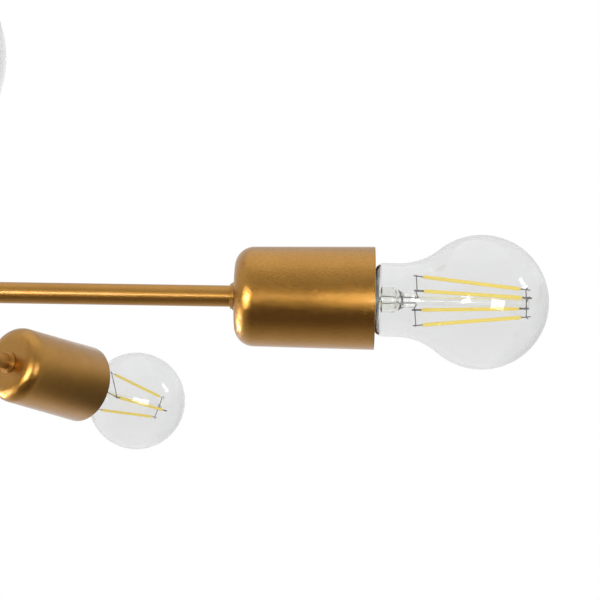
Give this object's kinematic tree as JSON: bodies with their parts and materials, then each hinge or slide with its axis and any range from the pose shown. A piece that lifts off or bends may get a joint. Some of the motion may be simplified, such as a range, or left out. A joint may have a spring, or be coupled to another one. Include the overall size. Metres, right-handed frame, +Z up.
{
  "type": "multi arm chandelier",
  "caption": "Hanging lamp with level arms that climb a central column like a spiral stair and swivel on it, each ending in a rounded metal cup with a clear filament bulb.",
  "frame": {"origin": "on the column's axis in the plane of the ceiling, at the middle of the bracket's slot pattern", "axes": "+Z up towards the ceiling, +X along the middle arm"},
  "size_m": [1.0006, 1.0248, 0.6415],
  "materials": {
    "gold_paint": "satin metallic gold paint with a fine grain",
    "black_plastic": "black moulded, satin",
    "white_plastic": "white moulded, satin",
    "zinc_steel": "zinc plated",
    "cap_metal": "plain drawn metal, semi-bright",
    "bulb_glass": "clear blown glass",
    "filament": "yellow coated filaments, unlit, on a clear stem"
  },
  "bodies": {
    "column_assembly": {"column": "gold_paint", "stack_washers": "black_plastic", "column_head": "gold_paint", "column_foot": "gold_paint", "downrod": "gold_paint", "ceiling_bracket": "zinc_steel", "bracket_nuts": "zinc_steel", "terminal_block": "white_plastic"},
    "canopy_set": {"canopy": "gold_paint", "canopy_collar": "gold_paint", "collar_screw": "zinc_steel"},
    "swing_arm_1": {"hub_1": "gold_paint", "arm_1": "gold_paint", "cup_1": "gold_paint", "lampholder_1": "black_plastic"},
    "bulb_1": {"bulb_cap_1": "cap_metal", "bulb_glass_1": "bulb_glass", "bulb_filaments_1": "filament"},
    "swing_arm_2": {"hub_2": "gold_paint", "arm_2": "gold_paint", "cup_2": "gold_paint", "lampholder_2": "black_plastic"},
    "bulb_2": {"bulb_cap_2": "cap_metal", "bulb_glass_2": "bulb_glass", "bulb_filaments_2": "filament"},
    "swing_arm_3": {"hub_3": "gold_paint", "arm_3": "gold_paint", "cup_3": "gold_paint", "lampholder_3": "black_plastic"},
    "bulb_3": {"bulb_cap_3": "cap_metal", "bulb_glass_3": "bulb_glass", "bulb_filaments_3": "filament"},
    "swing_arm_4": {"hub_4": "gold_paint", "arm_4": "gold_paint", "cup_4": "gold_paint", "lampholder_4": "black_plastic"},
    "bulb_4": {"bulb_cap_4": "cap_metal", "bulb_glass_4": "bulb_glass", "bulb_filaments_4": "filament"},
    "swing_arm_5": {"hub_5": "gold_paint", "arm_5": "gold_paint", "cup_5": "gold_paint", "lampholder_5": "black_plastic"},
    "bulb_5": {"bulb_cap_5": "cap_metal", "bulb_glass_5": "bulb_glass", "bulb_filaments_5": "filament"},
    "swing_arm_6": {"hub_6": "gold_paint", "arm_6": "gold_paint", "cup_6": "gold_paint", "lampholder_6": "black_plastic"},
    "bulb_6": {"bulb_cap_6": "cap_metal", "bulb_glass_6": "bulb_glass", "bulb_filaments_6": "filament"},
    "swing_arm_7": {"hub_7": "gold_paint", "arm_7": "gold_paint", "cup_7": "gold_paint", "lampholder_7": "black_plastic"},
    "bulb_7": {"bulb_cap_7": "cap_metal", "bulb_glass_7": "bulb_glass", "bulb_filaments_7": "filament"}
  },
  "joints": [
    {"name": "canopy_drop", "type": "slide", "parent": "column_assembly", "child": "canopy_set", "axis": [0, 0, 1], "range_m": [-0.06, 0]},
    {"name": "arm_swing_1", "type": "hinge", "parent": "column_assembly", "child": "swing_arm_1", "pos_m": [0, 0, -0.598], "axis": [0, 0, 1], "range_deg": [-45, 45]},
    {"name": "bulb_out_1", "type": "slide", "parent": "swing_arm_1", "child": "bulb_1", "axis": [-0.901, -0.4339, 0], "range_m": [0, 0.035]},
    {"name": "arm_swing_2", "type": "hinge", "parent": "column_assembly", "child": "swing_arm_2", "pos_m": [0, 0, -0.552], "axis": [0, 0, 1], "range_deg": [-45, 45]},
    {"name": "bulb_out_2", "type": "slide", "parent": "swing_arm_2", "child": "bulb_2", "axis": [-0.2225, -0.9749, 0], "range_m": [0, 0.035]},
    {"name": "arm_swing_3", "type": "hinge", "parent": "column_assembly", "child": "swing_arm_3", "pos_m": [0, 0, -0.506], "axis": [0, 0, 1], "range_deg": [-45, 45]},
    {"name": "bulb_out_3", "type": "slide", "parent": "swing_arm_3", "child": "bulb_3", "axis": [0.6235, -0.7818, 0], "range_m": [0, 0.035]},
    {"name": "arm_swing_4", "type": "hinge", "parent": "column_assembly", "child": "swing_arm_4", "pos_m": [0, 0, -0.46], "axis": [0, 0, 1], "range_deg": [-45, 45]},
    {"name": "bulb_out_4", "type": "slide", "parent": "swing_arm_4", "child": "bulb_4", "axis": [1, 0, 0], "range_m": [0, 0.035]},
    {"name": "arm_swing_5", "type": "hinge", "parent": "column_assembly", "child": "swing_arm_5", "pos_m": [0, 0, -0.414], "axis": [0, 0, 1], "range_deg": [-45, 45]},
    {"name": "bulb_out_5", "type": "slide", "parent": "swing_arm_5", "child": "bulb_5", "axis": [0.6235, 0.7818, 0], "range_m": [0, 0.035]},
    {"name": "arm_swing_6", "type": "hinge", "parent": "column_assembly", "child": "swing_arm_6", "pos_m": [0, 0, -0.368], "axis": [0, 0, 1], "range_deg": [-45, 45]},
    {"name": "bulb_out_6", "type": "slide", "parent": "swing_arm_6", "child": "bulb_6", "axis": [-0.2225, 0.9749, 0], "range_m": [0, 0.035]},
    {"name": "arm_swing_7", "type": "hinge", "parent": "column_assembly", "child": "swing_arm_7", "pos_m": [0, 0, -0.322], "axis": [0, 0, 1], "range_deg": [-45, 45]},
    {"name": "bulb_out_7", "type": "slide", "parent": "swing_arm_7", "child": "bulb_7", "axis": [-0.901, 0.4339, 0], "range_m": [0, 0.035]}
  ]
}
